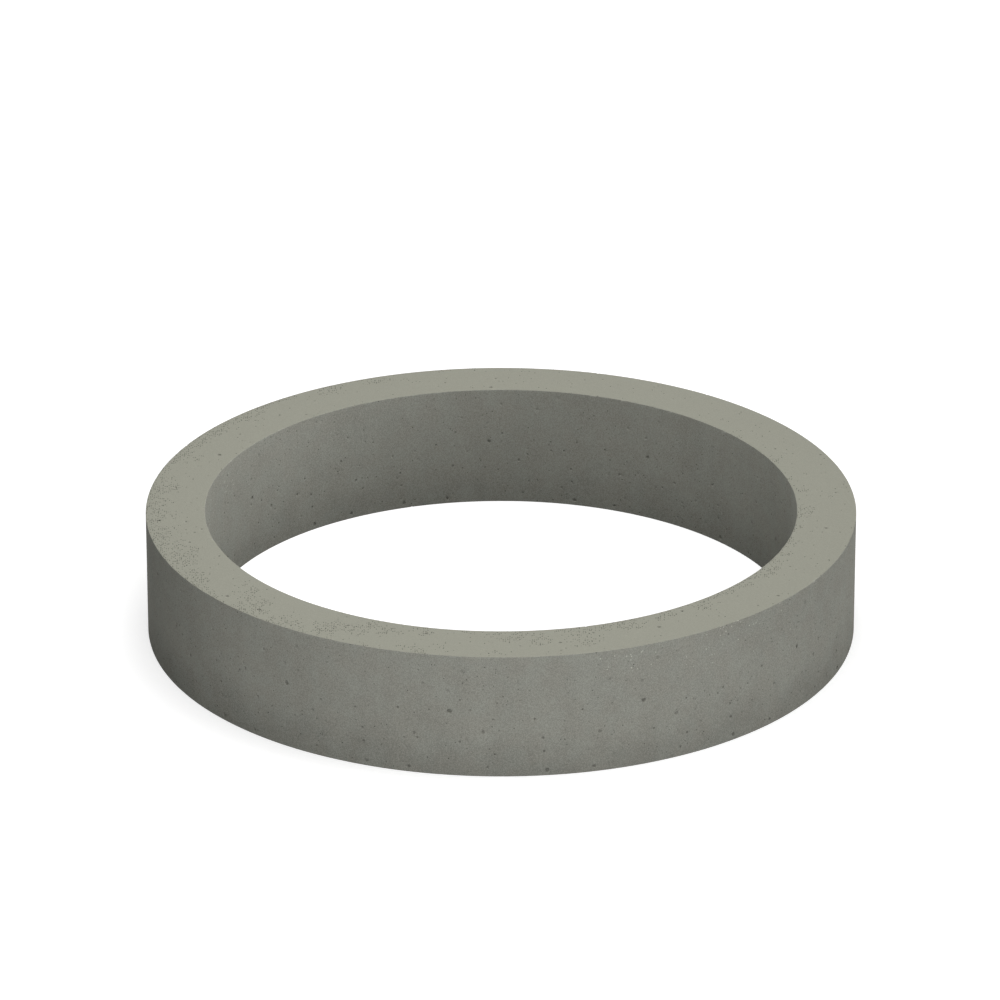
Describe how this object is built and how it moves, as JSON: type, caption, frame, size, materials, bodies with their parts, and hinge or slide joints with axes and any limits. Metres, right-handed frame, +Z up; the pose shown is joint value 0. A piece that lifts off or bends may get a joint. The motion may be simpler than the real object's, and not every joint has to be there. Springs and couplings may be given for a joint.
{
  "type": "concrete culvert ring",
  "caption": "Short cylindrical precast concrete ring with an open bore and two flat ends, laid or stacked to line a culvert, shaft or well.",
  "frame": {"origin": "centre of the bed face that the ring stands on, on the ring's axis", "axes": "+Z up along the ring's axis, from the bed face to the seat face; X and Y are any two level directions at right angles, because the ring is round"},
  "size_m": [0.84, 0.84, 0.15],
  "materials": {
    "concrete": "matte"
  },
  "bodies": {
    "root": {"concrete_ring": "concrete"}
  },
  "joints": []
}
